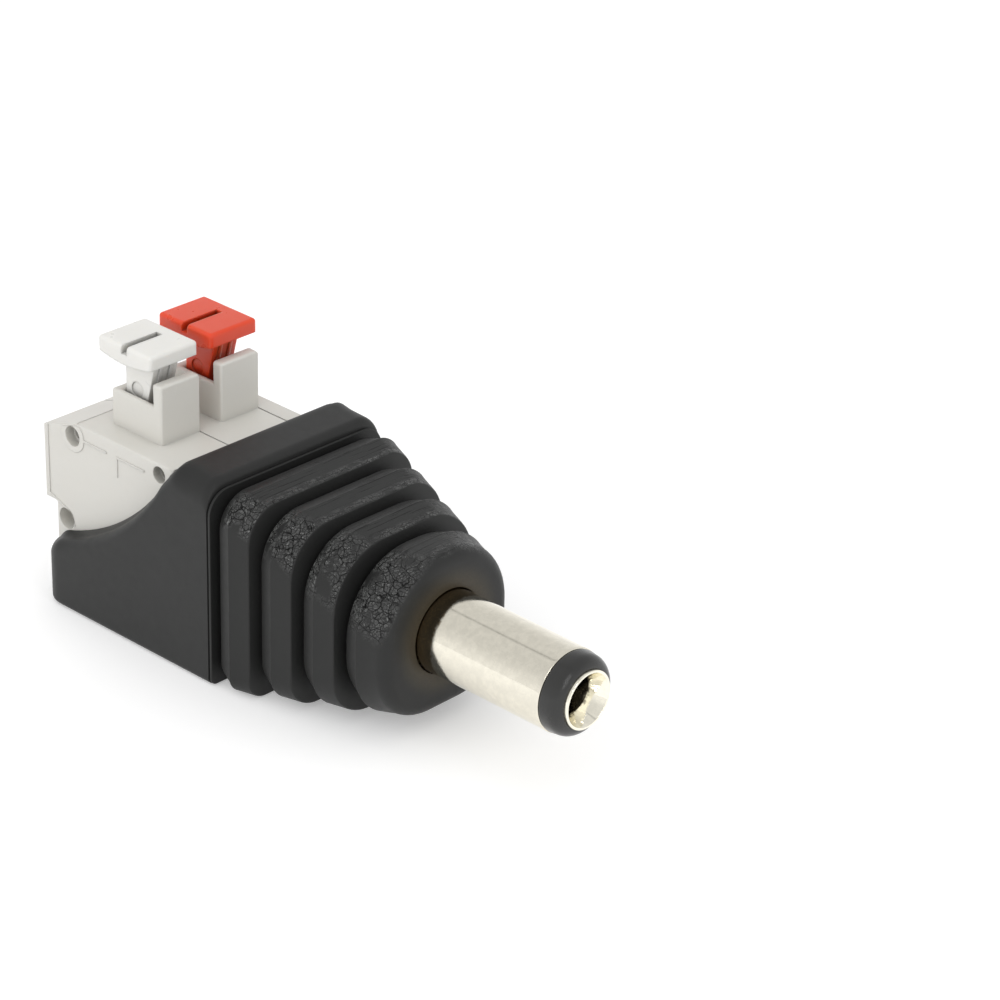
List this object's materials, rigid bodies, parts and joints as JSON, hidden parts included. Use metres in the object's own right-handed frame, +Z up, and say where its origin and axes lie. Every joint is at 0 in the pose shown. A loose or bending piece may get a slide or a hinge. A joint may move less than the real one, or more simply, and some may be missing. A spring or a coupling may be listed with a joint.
{
  "type": "dc barrel plug",
  "caption": "Barrel power plug in a ribbed, tapered black housing, with a light grey push-lever terminal block for bare wires at the back.",
  "frame": {"origin": "centre of the bounding box in x and y, on the surface the plug rests on", "axes": "+X from the wire entries towards the plug's tip, +Y towards the red lever, +Z up"},
  "size_m": [0.0426, 0.0152, 0.0189],
  "materials": {
    "housing": "satin black soft moulding",
    "terminal_grey": "fine matt",
    "lever_grey": "smooth",
    "lever_red": "smooth",
    "plating": "nickel plated",
    "insulator": "smooth black",
    "spring_steel": "rolled",
    "tinned_copper": "tinned",
    "copper": "bare",
    "sleeving_black": "smooth",
    "sleeving_red": "smooth",
    "inner_mould": "plain"
  },
  "bodies": {
    "plug": {"housing": "housing", "terminal_module_grey": "terminal_grey", "terminal_module_red": "terminal_grey", "terminal_end_cover": "terminal_grey", "plug_sleeve": "plating", "plug_insulator": "insulator", "centre_contact": "plating", "clamp_spring_grey": "spring_steel", "clamp_spring_red": "spring_steel", "current_bar_grey": "tinned_copper", "current_bar_red": "tinned_copper", "sleeve_lug": "tinned_copper", "centre_lug": "tinned_copper", "rear_washer": "insulator", "conductor_negative": "copper", "conductor_positive": "copper", "insulation_negative": "sleeving_black", "insulation_positive": "sleeving_red", "inner_mould": "inner_mould"},
    "lever_grey": {"lever_grey": "lever_grey"},
    "lever_red": {"lever_red": "lever_red"}
  },
  "joints": [
    {"name": "push_lever_grey", "type": "slide", "parent": "plug", "child": "lever_grey", "axis": [0, 0, -1], "range_m": [0, 0.00095], "stiffness_N_per_m": 2500, "deforming": ["clamp_spring_grey"]},
    {"name": "push_lever_red", "type": "slide", "parent": "plug", "child": "lever_red", "axis": [0, 0, -1], "range_m": [0, 0.00095], "stiffness_N_per_m": 2500, "deforming": ["clamp_spring_red"]}
  ]
}
